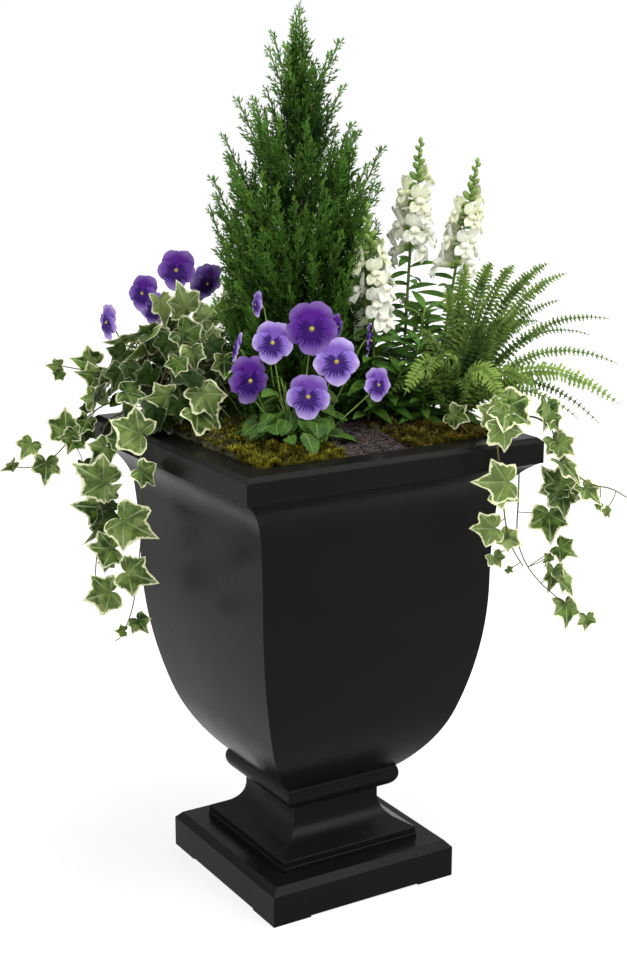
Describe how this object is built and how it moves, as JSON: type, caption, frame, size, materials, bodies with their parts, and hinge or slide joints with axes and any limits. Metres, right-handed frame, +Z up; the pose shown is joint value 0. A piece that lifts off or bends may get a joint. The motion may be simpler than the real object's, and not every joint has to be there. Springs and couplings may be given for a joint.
{
  "type": "urn planter",
  "caption": "Square pedestal urn planter with a wide rim, a stepped plinth and a lift-out liner pot holding a conifer, flowers, a fern and trailing ivy.",
  "frame": {"origin": "on the floor, under the middle of the plinth's four corner feet", "axes": "+Z up; the urn is square, and its wide front face, the one on the right in the picture, looks along -Y; +X is to the right of that face"},
  "size_m": [0.7768, 0.6651, 1.3621],
  "materials": {
    "urn_plastic": "satin",
    "cover_plastic": "matte",
    "fastener_steel": "satin",
    "plug_plastic": "satin",
    "seal_rubber": "matte",
    "liner_plastic": "matte",
    "gravel_stone": "matte",
    "filter_felt": "matte",
    "soil": "matte",
    "moss": "matte",
    "bark": "matte",
    "conifer_green": "matte",
    "stem_green": "satin",
    "leaf_green": "satin",
    "white_petal": "matte",
    "fern_green": "satin",
    "violet_petal": "satin",
    "vine_brown": "matte",
    "ivy_green": "satin"
  },
  "bodies": {
    "urn": {"bowl_shell": "urn_plastic", "pedestal_shell": "urn_plastic", "base_cover": "cover_plastic", "cover_screws": "fastener_steel", "joint_bolts": "fastener_steel", "joint_washers": "fastener_steel", "joint_nuts": "fastener_steel"},
    "plug": {"drain_plug": "plug_plastic", "drain_seal": "seal_rubber"},
    "planting": {"liner_pot": "liner_plastic", "gravel": "gravel_stone", "filter_fabric": "filter_felt", "potting_soil": "soil", "moss_left": "moss", "moss_right": "moss", "bark_mulch": "bark", "conifer_trunk": "bark", "conifer_core": "conifer_green", "conifer_sprays": "conifer_green", "snapdragon_stems": "stem_green", "snapdragon_leaves": "leaf_green", "snapdragon_blooms": "white_petal", "fern_fronds": "fern_green", "viola_stems": "stem_green", "viola_leaves": "leaf_green", "viola_flowers": "violet_petal", "ivy_vines": "vine_brown", "ivy_leaves": "ivy_green"}
  },
  "joints": [
    {"name": "planting_lift", "type": "slide", "parent": "urn", "child": "planting", "axis": [0, 0, 1], "range_m": [0, 0.56]},
    {"name": "plug_lift", "type": "slide", "parent": "urn", "child": "plug", "axis": [0, 0, 1], "range_m": [0, 0.03]}
  ]
}
